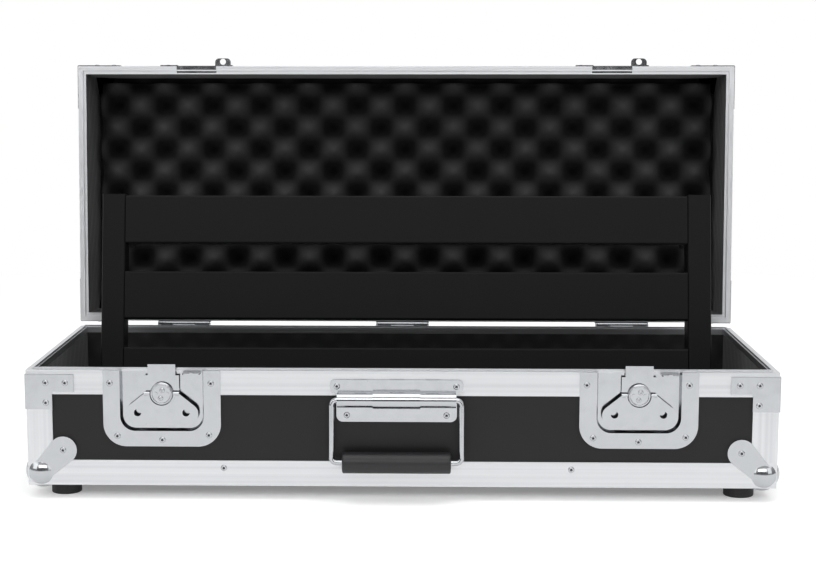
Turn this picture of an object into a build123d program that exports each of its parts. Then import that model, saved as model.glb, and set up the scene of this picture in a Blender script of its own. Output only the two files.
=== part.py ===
"""Guitar pedal case: a panelled flight case with a hinged lid and a loose pedalboard.

Millimetres. The case is described with x from its middle to the right, y from its front face
to the rear and z up from the underside of the base. The lid is described closed and the
board lying down, and each is then turned to its open place. Written files stand on the floor
with the origin under the middle of the whole part.
"""
import os
from math import atan2, cos, degrees, radians, sin
from build123d import *

os.makedirs("parts", exist_ok=True)

# ---- driving sizes ---------------------------------------------------------------------
case_width = 700.0
case_depth = 273.0
base_height = 109.5          # underside of the base to the plane where the rims meet
lid_height = 90.0            # rim plane to the top of the lid
rim_gap = 0.3                # between the closed rims
same_body_gap = 0.1          # round a piece let into another of its own body
running_fit = 0.05           # radial, round pins and shafts
moving_gap = 0.3             # between pieces that pass each other

angle_thickness = 1.5
panel_thickness = 6.0
lining_thickness = 1.0
edge_leg = 24.0              # width of the edge and corner angles
plate_thickness = 1.2        # pressed hardware

rim_flange = 23.0
rim_web = 1.5
rim_lip_height = 6.0
tongue_from_face = 5.4
tongue_thickness = 1.5
tongue_height = 1.8
groove_from_face = 5.0
groove_width = 2.3
groove_depth = 2.0
groove_roof = 1.1

foot_radius = 14.3
foot_height = 13.5
foot_inset = 30.0

ball_centre = 10.7           # in from the faces that meet at the corner
ball_radius = 15.4
neck_radius = 6.5
lobe_centre = 33.5
lobe_radius = 13.0
brace_arm = 45.0
brace_top = 4.1
brace_bottom = 20.5
brace_leg_width = 24.5
brace_leg_bottom = 37.0

rivet_radius = 3.0
rivet_height = 1.2
rivet_crown = 1.8

hinge_spacing = 236.0
hinge_offset_x = -2.0
pin_behind = 2.9
pin_above = 2.5
pin_radius = 1.4
pin_head_radius = 2.2
pin_head_length = 1.6
knuckle_radius = 2.6
base_knuckle = 15.0
lid_knuckle = 23.0
leaf_width = 57.0
leaf_thickness = 1.5
leaf_length = 21.0
lid_open_angle = 94.0

latch_left_x = -222.9
latch_right_x = 220.6
dish_width = 110.0
dish_height = 72.0
dish_corner = 21.5
pan_width = 78.3
pan_bottom = 57.3
pan_corner = 14.0
pan_floor = 5.3              # behind the case's front face
pan_draft = 15.0
notch_depth = 3.8            # of the rims, in front of the tongue and the groove
rotor_below_rim = 21.7
rotor_radius = 10.7
rotor_front = 3.3            # in front of the case's face
post_radius = 3.5
cam_radius = 5.5
cam_throw = 0.8
stub_radius = 0.9
stub_reach = 15.4
wing_front = 2.5
wing_thickness = 2.0
wing_bore_gap = 0.4          # round the rotor's head
wing_half_width = 33.9
wing_shoulder = 16.4
wing_shoulder_drop = 14.0
wing_drop = 28.5
wing_corner = 9.0
wing_hole_radius = 3.45
wing_hole_x = 22.6
wing_hole_drop = 18.0
wing_knuckle = 1.9
wing_ring_radius = 13.0
hook_front = 0.7
hook_thickness = 1.2
hook_nose = 1.6
hook_nose_thickness = 1.0
hook_nose_above_rim = 4.6
hook_half_width = 12.9
hook_wide_half = 16.15
hook_wide_top = 4.7
hook_wide_bottom = 19.0
hook_tail_half = 9.0
hook_tail_bottom = 31.0
hook_draw_in = 1.6
hook_draw_down = 1.0
tab_offset = 28.3
tab_width = 16.6
tab_reach = 8.4
tab_thickness = 1.5
tab_hole_radius = 3.2
tab_below_rim = 1.5
keeper_width = 77.4
keeper_height = 21.5
keeper_half_mouth = 20.0
keeper_roof = 12.0
keeper_depth = 6.0
keeper_floor = 1.0

handle_x = -4.0
handle_plate = 1.5
handle_top = 7.8
handle_top_width = 124.0
handle_middle = 20.0
handle_bottom = 47.5
handle_bottom_width = 112.0
barrel_radius = 7.0
barrel_below_rim = 26.1
barrel_half = 55.0
barrel_middle_radius = 8.0
barrel_middle_half = 22.0
wire_radius = 2.6
wire_half = 60.4
wire_bend = 5.2
grip_below_rim = 84.4
grip_radius = 10.0
grip_length = 101.0
grip_rest_gap = 0.4

foam_margin = 7.0
foam_thickness = 37.0
pad_height = 55.5
pad_clearance = 0.3

board_length = 609.6
board_offset = 2.4
board_slope = 11.4
board_front_y = 55.0
board_front_height = 30.0
board_floor_gap = 2.5
board_turn = 67.2
board_pivot_y = 69.8
board_pivot_z = 99.9
rail_width = 48.0
rail_pitch = 76.2
rail_depth = 16.0
rail_wall = 2.0
side_width = 23.5
side_depth = 26.0
side_overhang = 1.4
leg_depth = 24.0
leg_inset = 11.5
board_foot = 4.5
board_foot_length = 20.0

# ---- sizes that follow -----------------------------------------------------------------
half_width = case_width / 2
panel_inner = angle_thickness + panel_thickness
wall = panel_inner + lining_thickness
floor_top = wall
lid_rim = base_height + rim_gap
lid_top = lid_rim + lid_height
pin_y = case_depth + pin_behind
pin_z = base_height + pin_above
front_reach = grip_rest_gap + 2 * grip_radius
board_foot_z = floor_top + board_floor_gap


def turn(y, z, angle):
    """A rigid turn about the line along x through (y, z)."""
    return Location((0, y, z)) * Location((0, 0, 0), (angle, 0, 0)) * Location((0, -y, -z))


# The open lid's ball corners reach furthest back, the grip furthest forward.
ball_out = ball_centre - ball_radius
back_angle = radians(lid_open_angle)
ball_arm_y = ball_centre - pin_y
ball_arm_z = lid_top - ball_centre - pin_z
ball_low_arm_y = case_depth - ball_centre - pin_y
ball_back = max(
    pin_y + arm * cos(back_angle) + ball_arm_z * sin(back_angle) + ball_radius
    for arm in (ball_arm_y, ball_low_arm_y)
)
front_y = (front_reach - ball_back) / 2

base_place = Location((0, front_y, foot_height))
lid_place = base_place * turn(pin_y, pin_z, -lid_open_angle)
board_place = base_place * turn(board_pivot_y, board_pivot_z, board_turn)

# Each wall's plane has x along the wall, y inward from its outer face and z up.
walls = {
    "front": (Plane((0, 0, 0), x_dir=(1, 0, 0)), case_width),
    "right": (Plane((half_width, case_depth / 2, 0), x_dir=(0, 1, 0)), case_depth),
    "rear": (Plane((0, case_depth, 0), x_dir=(-1, 0, 0)), case_width),
    "left": (Plane((-half_width, case_depth / 2, 0), x_dir=(0, -1, 0)), case_depth),
}
latch_x = {"left": latch_left_x, "right": latch_right_x}
hinge_x = [hinge_offset_x + step * hinge_spacing for step in (-1, 0, 1)]


# ---- small tools -----------------------------------------------------------------------
def block(x, y, z, mode=Mode.ADD):
    """A box between two limits on each axis."""
    with Locations(((x[0] + x[1]) / 2, (y[0] + y[1]) / 2, (z[0] + z[1]) / 2)):
        Box(x[1] - x[0], y[1] - y[0], z[1] - z[0], mode=mode)


def bar(x, y, mode=Mode.ADD):
    """A rectangle between two limits on each axis of the sketch."""
    with Locations(((x[0] + x[1]) / 2, (y[0] + y[1]) / 2)):
        Rectangle(x[1] - x[0], y[1] - y[0], mode=mode)


def front_face(x, depth, z):
    """A plane on the front, x to the right and y up, at a depth behind the face."""
    return Plane((x, depth, z), x_dir=(1, 0, 0), z_dir=(0, -1, 0))


def write(piece, name, place):
    """Put a finished piece in its place, label it and write its file."""
    placed = place * piece
    placed.label = name
    export_step(placed, f"parts/{name}.step")


def mirrored_pair(count_y=True):
    """Mirror what the builder holds to the other side and, if asked, to the rear."""
    mirror(about=Plane.YZ)
    if count_y:
        mirror(about=Plane((0, case_depth / 2, 0), z_dir=(0, 1, 0)))


# ---- rims and angles -------------------------------------------------------------------
def mitred_rail(name, height, section):
    """A rail along one wall with the given section, its ends cut at 45 degrees."""
    frame, length = walls[name]
    start = frame.origin + Vector(0, 0, height)
    reach = 2 * wall
    with BuildPart() as rail:
        with BuildSketch(Plane(start, x_dir=frame.y_dir, z_dir=frame.x_dir)):
            section()
        extrude(amount=length / 2, both=True)
        with BuildSketch(Plane(start, x_dir=frame.x_dir)):
            Polygon(
                (-length / 2, 0),
                (length / 2, 0),
                (length / 2 - reach, reach),
                (-length / 2 + reach, reach),
                align=None,
            )
        extrude(amount=2 * rim_flange, both=True, mode=Mode.INTERSECT)
    return rail.part


def base_rim_section():
    """Outer flange, web over the panel's edge, inner lip and the tongue."""
    bar((0, angle_thickness), (-rim_flange, 0))
    bar((0, wall), (-rim_web, 0))
    bar((panel_inner, wall), (-rim_lip_height, 0))
    bar((tongue_from_face, tongue_from_face + tongue_thickness), (0, tongue_height))


def lid_rim_section():
    """Outer flange, land, inner lip and the groove that takes the tongue."""
    bar((0, angle_thickness), (0, rim_flange))
    bar((0, wall), (0, groove_depth + groove_roof))
    bar((panel_inner, wall), (0, rim_lip_height))
    bar((groove_from_face, groove_from_face + groove_width), (0, groove_depth), Mode.SUBTRACT)


def front_rim(rail, centres, half, low, high, roof=None):
    """Cut the notches for the latches into a front rim."""
    with BuildPart() as rim:
        add(rail)
        for x in centres:
            block((x - half, x + half), (-1, notch_depth), (low, high), Mode.SUBTRACT)
            if roof:
                block((x - half, x + half), (notch_depth, panel_inner - 0.2), roof, Mode.SUBTRACT)
    return rim.part


def edge_ring(face_z, up):
    """The angle round four edges: a leg on each wall and a leg on the flat face."""
    far = face_z + up * edge_leg
    skin = face_z + up * angle_thickness
    with BuildPart() as ring:
        block((-half_width, half_width), (0, case_depth), sorted((face_z, far)))
        block(
            (-half_width + angle_thickness, half_width - angle_thickness),
            (angle_thickness, case_depth - angle_thickness),
            sorted((skin, far)),
            Mode.SUBTRACT,
        )
        block(
            (-half_width + edge_leg, half_width - edge_leg),
            (edge_leg, case_depth - edge_leg),
            sorted((face_z, skin)),
            Mode.SUBTRACT,
        )
    return ring.part


def corner_posts(z):
    """Four upright angles between the rims and the edge angles."""
    with BuildPart() as posts:
        with BuildSketch(Plane.XY.offset(z[0])):
            bar((half_width - edge_leg, half_width), (0, edge_leg))
            bar(
                (half_width - edge_leg, half_width - angle_thickness),
                (angle_thickness, edge_leg),
                Mode.SUBTRACT,
            )
        extrude(amount=z[1] - z[0])
        mirrored_pair()
    return posts.part


# ---- corners ---------------------------------------------------------------------------
def corner_plate_pair(plane, near, far):
    """The lobed plate on one face, with a pad that fills down to the panel under its lobe."""
    with BuildSketch(plane) as outline:
        with Locations(near):
            Circle(neck_radius)
        with Locations(far):
            Circle(lobe_radius)
        make_hull()
    extrude(outline.sketch, amount=plate_thickness)
    limit = edge_leg + same_body_gap
    with BuildSketch(plane) as pad:
        with Locations(far):
            Circle(lobe_radius)
        x = sorted((limit * sign(far[0]), 3 * limit * sign(far[0])))
        y = sorted((limit * sign(far[1]), 3 * limit * sign(far[1])))
        bar(x, y, Mode.INTERSECT)
    extrude(pad.sketch, amount=-angle_thickness)


def sign(value):
    """One with the sign of a value."""
    return 1 if value > 0 else -1


def ball_corners(face_z, up):
    """Four corner caps: a ball over the corner and a lobed plate on each of three faces."""
    corner = Vector(half_width, 0, face_z)
    into = Vector(-1, 1, up)
    reach = 2 * ball_radius
    with BuildPart() as ball:
        with Locations(corner + into * ball_centre):
            Sphere(ball_radius)
        inside = sorted((face_z, face_z + up * reach))
        block((half_width - reach, half_width), (0, reach), inside, Mode.SUBTRACT)
    with BuildPart() as plates:
        for normal in (Vector(0, -1, 0), Vector(1, 0, 0), Vector(0, 0, -up)):
            plane = Plane(corner, z_dir=normal)
            diagonal = plane.to_local_coords(corner + into + normal)
            near = (diagonal.X * ball_centre, diagonal.Y * ball_centre)
            far = (diagonal.X * lobe_centre, diagonal.Y * lobe_centre)
            corner_plate_pair(plane, near, far)
        with Locations(corner + into * ball_centre):
            Sphere(ball_radius, mode=Mode.SUBTRACT)
    with BuildPart() as caps:
        add(ball.part)
        add(plates.part)
        mirrored_pair()
    return caps.part


def corner_braces(rim_z, up):
    """Four L-shaped plates bent round the corners at a rim."""
    z_near = rim_z - up * brace_top
    z_far = rim_z - up * brace_bottom
    z_leg = rim_z - up * brace_leg_bottom
    arm = sorted((z_near, z_far))
    leg = sorted((z_near, z_leg))
    outer_x = half_width + plate_thickness
    with BuildPart() as braces:
        block((half_width - brace_arm, outer_x), (-plate_thickness, 0), arm)
        block((half_width - brace_leg_width, outer_x), (-plate_thickness, 0), leg)
        block((half_width, outer_x), (-plate_thickness, brace_arm), arm)
        block((half_width, outer_x), (-plate_thickness, brace_leg_width), leg)
        upright = braces.edges().filter_by(Axis.Z)
        fillet(upright.sort_by(lambda edge: edge.center().X - edge.center().Y)[-1], plate_thickness)
        mirrored_pair()
    return braces.part


# ---- base shell ------------------------------------------------------------------------
def panels(low, high, flat_z, names, openings):
    """Five panels: four walls between two heights and the flat one."""
    inner_x = half_width - angle_thickness
    inner_y = (angle_thickness, case_depth - angle_thickness)
    with BuildPart() as front:
        block((-inner_x, inner_x), (angle_thickness, panel_inner), (low, high))
        for x, half, bottom, top in openings:
            block((x - half, x + half), (0, wall), (bottom, top), Mode.SUBTRACT)
    with BuildPart() as rear:
        rear_y = (case_depth - panel_inner, case_depth - angle_thickness)
        block((-inner_x, inner_x), rear_y, (low, high))
    with BuildPart() as right:
        side_y = (panel_inner, case_depth - panel_inner)
        block((half_width - panel_inner, inner_x), side_y, (low, high))
    with BuildPart() as left:
        block((-inner_x, panel_inner - half_width), side_y, (low, high))
    with BuildPart() as flat:
        block((-inner_x, inner_x), inner_y, flat_z)
    made = (front.part, rear.part, left.part, right.part, flat.part)
    return dict(zip(names, made))


def lining(z, open_above):
    """The cloth skin inside the walls and the flat panel."""
    outer_x = half_width - panel_inner
    inner_x = half_width - wall
    hollow = (z[0] + lining_thickness, z[1]) if open_above else (z[0], z[1] - lining_thickness)
    with BuildPart() as skin:
        block((-outer_x, outer_x), (panel_inner, case_depth - panel_inner), z)
        block((-inner_x, inner_x), (wall, case_depth - wall), hollow, Mode.SUBTRACT)
    return skin.part


# ---- latches ---------------------------------------------------------------------------
def latch_dish(x):
    """The pressed dish let into the front, with the tab that takes a padlock."""
    top = base_height - rim_web
    lip_y = -plate_thickness
    face = front_face(x, 0, base_height)
    with BuildPart() as dish:
        with BuildSketch(face.offset(-angle_thickness)) as flange:
            bar((-dish_width / 2, dish_width / 2), (-dish_height, 0))
            fillet(flange.vertices().group_by(Axis.Y)[0], dish_corner)
        extrude(amount=angle_thickness + plate_thickness)
        block(
            (x - dish_width, x + dish_width),
            (0, angle_thickness),
            (base_height - rim_flange, base_height + 1),
            Mode.SUBTRACT,
        )
        outside = pan_mouth(face.offset(plate_thickness), plate_thickness)
        depth = pan_floor + 2 * plate_thickness
        extrude(outside, amount=-depth, taper=pan_draft)
        block(
            (x - dish_width, x + dish_width),
            (-wall, wall),
            (base_height, base_height + 2 * rim_flange),
            Mode.SUBTRACT,
        )
        block((x - dish_width, x + dish_width), (notch_depth, wall), (top, lid_rim), Mode.SUBTRACT)
        inside = pan_mouth(face.offset(plate_thickness), 0)
        extrude(
            inside, amount=-(pan_floor + plate_thickness), taper=pan_draft, mode=Mode.SUBTRACT
        )
        with BuildSketch(front_face(x, wall, base_height - rotor_below_rim)):
            Circle(post_radius + running_fit)
        extrude(amount=2 * wall, mode=Mode.SUBTRACT)
        tab_top = base_height - tab_below_rim
        padlock_tab(x, (tab_top - tab_thickness, tab_top), pan_floor + plate_thickness / 2)
    return dish.part


def pan_mouth(plane, grow):
    """The mouth of the dish's pan, run up past the rim, grown outward by a wall."""
    with BuildSketch(plane) as mouth:
        reach = pan_width / 2 + grow
        bar((-reach, reach), (-pan_bottom - grow, rim_flange))
        fillet(mouth.vertices().group_by(Axis.Y)[0], pan_corner)
    return mouth.sketch


def padlock_tab(x, z, root):
    """A flat tab standing out from a plate, with a hole for a shackle."""
    near = x + tab_offset - tab_width / 2
    with BuildSketch(Plane.XY.offset(z[0])) as tab:
        bar((near, near + tab_width), (-tab_reach, root))
        fillet(tab.vertices().group_by(Axis.Y)[0], tab_width / 4)
        with Locations((x + tab_offset, -tab_reach / 2 - plate_thickness / 2)):
            Circle(tab_hole_radius, mode=Mode.SUBTRACT)
    extrude(tab.sketch, amount=z[1] - z[0])


def latch_keeper(x):
    """The lid's half of a latch: a flange, a pocket and the lip that the hook draws on."""
    roof = lid_rim + keeper_roof
    lip_low = lid_rim + groove_depth
    lip_top = lip_low + keeper_floor
    mouth = (x - keeper_half_mouth, x + keeper_half_mouth)
    outer = (mouth[0] - plate_thickness, mouth[1] + plate_thickness)
    with BuildPart() as keeper:
        block(
            (x - keeper_width / 2, x + keeper_width / 2),
            (-plate_thickness, 0),
            (lid_rim, lid_rim + keeper_height),
        )
        upper = keeper.edges().filter_by(Axis.Y).group_by(Axis.Z)[-1]
        fillet(upper, keeper_height / 3)
        block(outer, (0, keeper_depth + plate_thickness), (lid_rim, roof + plate_thickness))
        padlock_tab(x, (lid_rim + tab_thickness, lid_rim + 2 * tab_thickness), 0)
        block(outer, (notch_depth, wall), (lid_rim - 1, lip_low), Mode.SUBTRACT)
        block(mouth, (-wall, notch_depth), (lid_rim - 1, roof), Mode.SUBTRACT)
        block(mouth, (0, keeper_depth), (lip_top, roof), Mode.SUBTRACT)
    return keeper.part


def latch_rotor(x):
    """The turning head with its cam, its post and the stubs that carry the wing."""
    face = front_face(x, -rotor_front, base_height - rotor_below_rim)
    cam_back = rotor_front + pan_floor - moving_gap
    post_back = rotor_front + pan_floor + plate_thickness
    head_back = rotor_front + hook_front - moving_gap
    with BuildPart() as rotor:
        with BuildSketch(face):
            Circle(rotor_radius)
        extrude(amount=-head_back)
        rim = rotor.edges().group_by(Axis.Y)[0]
        chamfer(rim, plate_thickness / 2)
        with BuildSketch(face):
            with Locations((0, cam_throw)):
                Circle(cam_radius)
        extrude(amount=-cam_back)
        with BuildSketch(face):
            Circle(post_radius)
        extrude(amount=-post_back)
        with BuildSketch(face):
            with GridLocations(rotor_radius, 0, 2, 1):
                Circle(rotor_radius / 6)
        extrude(amount=plate_thickness / 2)
        stub_y = wing_front - wing_thickness / 2
        with BuildSketch(Plane((x, -stub_y, face.origin.Z), x_dir=(0, 1, 0), z_dir=(1, 0, 0))):
            Circle(stub_radius)
        extrude(amount=stub_reach, both=True)
    return rotor.part


def latch_wing(x):
    """The butterfly grip that folds flat over the dish and hinges on the rotor's stubs."""
    z = base_height - rotor_below_rim
    inner = rotor_radius + wing_bore_gap
    with BuildPart() as wing:
        with BuildSketch(front_face(x, wing_thickness - wing_front, z)) as outline:
            with BuildLine():
                Polyline(
                    (0, 0),
                    (wing_shoulder, 0),
                    (wing_half_width, -wing_shoulder_drop),
                    (wing_half_width, -wing_drop),
                    (0, -wing_drop),
                    (0, 0),
                )
            make_face()
            lower = outline.vertices().filter_by(lambda v: v.X > wing_shoulder + 1)
            fillet(lower, wing_corner)
            mirror(about=Plane.YZ)
            with GridLocations(2 * wing_hole_drop, 0, 2, 1):
                with Locations((0, -wing_drop)):
                    Circle(wing_bore_gap * 8)
            with Locations((wing_hole_x, -wing_hole_drop), (-wing_hole_x, -wing_hole_drop)):
                Circle(wing_hole_radius, mode=Mode.SUBTRACT)
        extrude(amount=wing_thickness)
        with BuildSketch(front_face(x, -wing_front, z)):
            Circle(wing_ring_radius)
            bar((-wing_ring_radius, wing_ring_radius), (0, wing_ring_radius), Mode.SUBTRACT)
        extrude(amount=plate_thickness / 2)
        with BuildSketch(front_face(x, wall, z)):
            Circle(inner)
        extrude(amount=3 * wall, mode=Mode.SUBTRACT)
        pivot = Plane((x, wing_thickness / 2 - wing_front, z), x_dir=(0, 1, 0), z_dir=(1, 0, 0))
        for start in (inner, -wing_shoulder):
            with BuildSketch(pivot.offset(start)):
                Circle(wing_knuckle)
            extrude(amount=wing_shoulder - inner)
        with BuildSketch(pivot):
            Circle(stub_radius + running_fit)
        extrude(amount=stub_reach + moving_gap, both=True, mode=Mode.SUBTRACT)
    return wing.part


def latch_hook(x):
    """The plate that the cam draws, with a nose that goes over the keeper's lip."""
    z = base_height - rotor_below_rim
    top = rotor_below_rim + hook_nose_above_rim + hook_nose_thickness
    wide_top = rotor_below_rim - hook_wide_top
    wide_low = rotor_below_rim - hook_wide_bottom
    window = cam_radius + cam_throw + 2 * moving_gap
    with BuildPart() as hook:
        with BuildSketch(front_face(x, hook_front + hook_thickness, z)):
            bar((-hook_half_width, hook_half_width), (wide_low, top))
            bar((-hook_wide_half, hook_wide_half), (wide_low, wide_top))
            bar((-hook_tail_half, hook_tail_half), (rotor_below_rim - hook_tail_bottom, wide_low))
            SlotCenterPoint(
                (0, hook_draw_down / 2),
                (0, hook_draw_down / 2 + moving_gap + hook_draw_down),
                2 * window,
                rotation=0,
                mode=Mode.SUBTRACT,
            )
        extrude(amount=hook_thickness)
        back = hook_front + hook_thickness
        nose_z = base_height + hook_nose_above_rim
        block(
            (x - hook_half_width, x + hook_half_width),
            (hook_front, back + hook_nose),
            (nose_z, nose_z + hook_nose_thickness),
        )
    return hook.part


# ---- handle ----------------------------------------------------------------------------
def handle_plate_piece():
    """The pressed plate on the front with the barrel that the bail turns in."""
    face = front_face(handle_x, 0, base_height)
    barrel_y = -barrel_radius
    with BuildPart() as plate:
        with BuildSketch(face):
            reach = handle_top_width / 2
            bar((-reach, reach), (-handle_middle, -handle_top))
        extrude(amount=handle_plate)
        upper = plate.edges().filter_by(Axis.Y)
        fillet(upper, 3 * handle_plate)
        with BuildSketch(face.offset(-angle_thickness)) as lower:
            reach = handle_bottom_width / 2
            bar((-reach, reach), (-handle_bottom, -handle_middle))
            fillet(lower.vertices().group_by(Axis.Y)[0], 4 * handle_plate)
        extrude(amount=angle_thickness + handle_plate)
        block(
            (handle_x - handle_top_width, handle_x + handle_top_width),
            (0, angle_thickness),
            (base_height - rim_flange, base_height),
            Mode.SUBTRACT,
        )
        with BuildSketch(face.offset(handle_plate)):
            with GridLocations(2 * grip_radius + barrel_radius * 2, 0, 3, 1):
                with Locations((0, -handle_top - rivet_height)):
                    Circle(barrel_radius)
            bar((-handle_top_width, handle_top_width), (-handle_top, 0), Mode.SUBTRACT)
        extrude(amount=plate_thickness)
        axle = Plane((handle_x, barrel_y, base_height - barrel_below_rim), z_dir=(1, 0, 0))
        with BuildSketch(axle):
            Circle(barrel_radius)
        extrude(amount=barrel_half, both=True)
        with BuildSketch(axle):
            Circle(barrel_middle_radius)
        extrude(amount=barrel_middle_half, both=True)
        with BuildSketch(axle):
            Circle(wire_radius + running_fit)
        extrude(amount=case_width, both=True, mode=Mode.SUBTRACT)
        block(
            (handle_x - barrel_half, handle_x + barrel_half),
            (0, wall),
            (base_height - rim_flange, base_height),
            Mode.SUBTRACT,
        )
        block(
            (handle_x - barrel_half, handle_x + barrel_half),
            (angle_thickness, wall),
            (base_height - handle_bottom, base_height - rim_flange),
            Mode.SUBTRACT,
        )
    return plate.part


handle_drop = grip_below_rim - barrel_below_rim
handle_lean = grip_rest_gap + grip_radius - barrel_radius
handle_frame = Plane(
    (handle_x, -barrel_radius, base_height - barrel_below_rim),
    x_dir=(1, 0, 0),
    z_dir=Vector(0, -handle_drop, handle_lean).normalized(),
)
handle_length = (handle_drop ** 2 + handle_lean ** 2) ** 0.5


def handle_bail():
    """The bent wire: through the barrel, down both sides and through the grip."""
    with BuildPart() as bail:
        with BuildLine(handle_frame) as half:
            FilletPolyline(
                (0, 0),
                (wire_half, 0),
                (wire_half, -handle_length),
                (0, -handle_length),
                radius=wire_bend,
            )
        with BuildSketch(Plane(half.line @ 0, z_dir=half.line % 0)):
            Circle(wire_radius)
        sweep(path=half.line)
        mirror(about=Plane((handle_x, 0, 0), z_dir=(1, 0, 0)))
    return bail.part


def handle_grip():
    """The round sleeve on the wire."""
    centre = handle_frame.from_local_coords((0, -handle_length, 0))
    with BuildPart() as grip:
        with BuildSketch(Plane(centre, z_dir=(1, 0, 0))):
            Circle(grip_radius)
            Circle(wire_radius + running_fit, mode=Mode.SUBTRACT)
        extrude(amount=grip_length / 2, both=True)
        fillet(grip.edges().filter_by(GeomType.CIRCLE).group_by(SortBy.RADIUS)[-1], 2)
    return grip.part


# ---- hinges ----------------------------------------------------------------------------
def knuckle_plane(x):
    """A plane square to the hinge pin."""
    return Plane((x, pin_y, pin_z), x_dir=(0, 1, 0), z_dir=(1, 0, 0))


def knuckles(spans):
    """Knuckles round the pin over the given spans, bored for it."""
    for low, high in spans:
        with BuildSketch(knuckle_plane(low)) as ring:
            Circle(knuckle_radius)
        extrude(ring.sketch, amount=high - low)


def hinge_leaves(lid):
    """Three leaves with their knuckles, for the base or for the lid."""
    leaf_y = (case_depth, case_depth + leaf_thickness)
    half_lid = lid_knuckle / 2
    half_base = half_lid + moving_gap
    with BuildPart() as leaves:
        for x in hinge_x:
            ends = (x - leaf_width / 2, x + leaf_width / 2)
            if lid:
                spans = [(x - half_lid, x + half_lid)]
                block(ends, leaf_y, (lid_rim + pin_above + knuckle_radius, lid_rim + leaf_length))
                block(spans[0], leaf_y, (pin_z, lid_rim + leaf_length))
            else:
                spans = [
                    (x - half_base - base_knuckle, x - half_base),
                    (x + half_base, x + half_base + base_knuckle),
                ]
                block(ends, leaf_y, (base_height - leaf_length, pin_z - knuckle_radius))
                for span in spans:
                    block(span, leaf_y, (base_height - leaf_length, pin_z))
            knuckles(spans)
            bore = pin_radius + running_fit
            with BuildSketch(knuckle_plane(x)):
                Circle(bore)
            extrude(amount=leaf_width / 2, both=True, mode=Mode.SUBTRACT)
    return leaves.part


def hinge_pins():
    """Three headed pins."""
    half = lid_knuckle / 2 + moving_gap + base_knuckle
    with BuildPart() as pins:
        for x in hinge_x:
            with BuildSketch(knuckle_plane(x)):
                Circle(pin_radius)
            extrude(amount=half, both=True)
            for start in (half, -half - pin_head_length):
                with BuildSketch(knuckle_plane(x + start)):
                    Circle(pin_head_radius)
                extrude(amount=pin_head_length)
    return pins.part


# ---- soft parts and feet ---------------------------------------------------------------
def rubber_feet():
    """Four round feet under the corner plates."""
    with BuildPart() as feet:
        with BuildSketch(Plane.XY.offset(-foot_height)):
            with Locations((half_width - foot_inset, foot_inset)):
                Circle(foot_radius)
        extrude(amount=foot_height - plate_thickness)
        fillet(feet.edges().group_by(Axis.Z)[0], 1.5)
        mirrored_pair()
    return feet.part


def lid_foam():
    """The foam block on the lid's flat panel, as thick as its peaks."""
    inside = lid_top - wall
    x = half_width - wall - foam_margin
    y = wall + foam_margin
    with BuildPart() as foam:
        block((-x, x), (y, case_depth - y), (inside - foam_thickness, inside))
    return foam.part


def end_pad(side):
    """The foam pad between a wall and the board's end."""
    board_end = side * board_offset + board_length / 2 + pad_clearance
    x = sorted((side * board_end, side * (half_width - wall)))
    with BuildPart() as pad:
        block(x, (wall, case_depth - wall), (floor_top, floor_top + pad_height))
    return pad.part


# ---- pedalboard ------------------------------------------------------------------------
slope = radians(board_slope)
board_front_z = board_foot_z + board_front_height
board_frame = Plane(
    (board_offset, board_front_y, board_front_z),
    x_dir=(1, 0, 0),
    z_dir=(0, -sin(slope), cos(slope)),
)
board_section = Plane(
    board_frame.origin,
    x_dir=board_frame.y_dir,
    z_dir=(1, 0, 0),
)
board_span = 2 * rail_pitch + rail_width
rail_half = board_length / 2 - side_width


def board_rail(index):
    """A channel across the board, open below."""
    start = index * rail_pitch
    with BuildPart() as rail:
        inside = (start + rail_wall, start + rail_width - rail_wall)
        with BuildSketch(board_section) as channel:
            bar((start, start + rail_width), (-rail_depth, 0))
            fillet(channel.vertices().group_by(Axis.Y)[-1], rail_wall)
            bar(inside, (-rail_depth, -rail_wall), Mode.SUBTRACT)
        extrude(amount=rail_half, both=True)
    return rail.part


def leg_rear_y():
    """The rear face of the tall leg."""
    return board_front_y + board_span * cos(slope) - leg_inset


def board_end(side):
    """A side member: a sloping tube with a tall leg at the rear."""
    start = rail_half if side > 0 else -board_length / 2
    leg = (leg_rear_y() - leg_depth, leg_rear_y())
    with BuildPart() as end:
        with BuildSketch(board_section.offset(start)):
            bar((-side_overhang, board_span + side_overhang), (-side_depth, 0))
        extrude(amount=side_width)
        tube = end.edges().filter_by(Axis(board_frame.origin, board_frame.y_dir))
        fillet(tube, 2.5)
        x = sorted((board_offset + start, board_offset + start + side_width))
        leg_top = board_front_z + side_depth / 2
        block(x, leg, (board_foot_z + board_foot, leg_top))
    return end.part


def board_feet():
    """A wedge under each front corner and a pad under each leg."""
    with BuildPart() as feet:
        for side in (1, -1):
            centre = board_offset + side * (board_length - side_width) / 2
            x = (centre - side_width / 3, centre + side_width / 3)
            leg = (leg_rear_y() - leg_depth + 2, leg_rear_y() - 2)
            block(x, leg, (board_foot_z, board_foot_z + board_foot))
            with BuildSketch(Plane((x[0], 0, 0), x_dir=(0, 1, 0), z_dir=(1, 0, 0))):
                front = board_front_y + side_depth * sin(slope)
                under = board_front_z - side_depth * cos(slope)
                rise = board_foot_length * sin(slope) / cos(slope)
                Polygon(
                    (front, board_foot_z),
                    (front + board_foot_length, board_foot_z),
                    (front + board_foot_length, under + rise),
                    (front, under),
                    align=None,
                )
            extrude(amount=x[1] - x[0])
    return feet.part


# ---- rivets ----------------------------------------------------------------------------
def rivets_on(plane, points):
    """Low round rivet heads on a plane at points given in its own x and y."""
    seated = (Align.CENTER, Align.CENTER, Align.MIN)
    with Locations(*[plane.location * Location((x, y, 0)) for x, y in points]):
        Cone(rivet_radius, rivet_crown, rivet_height, align=seated)


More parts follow.
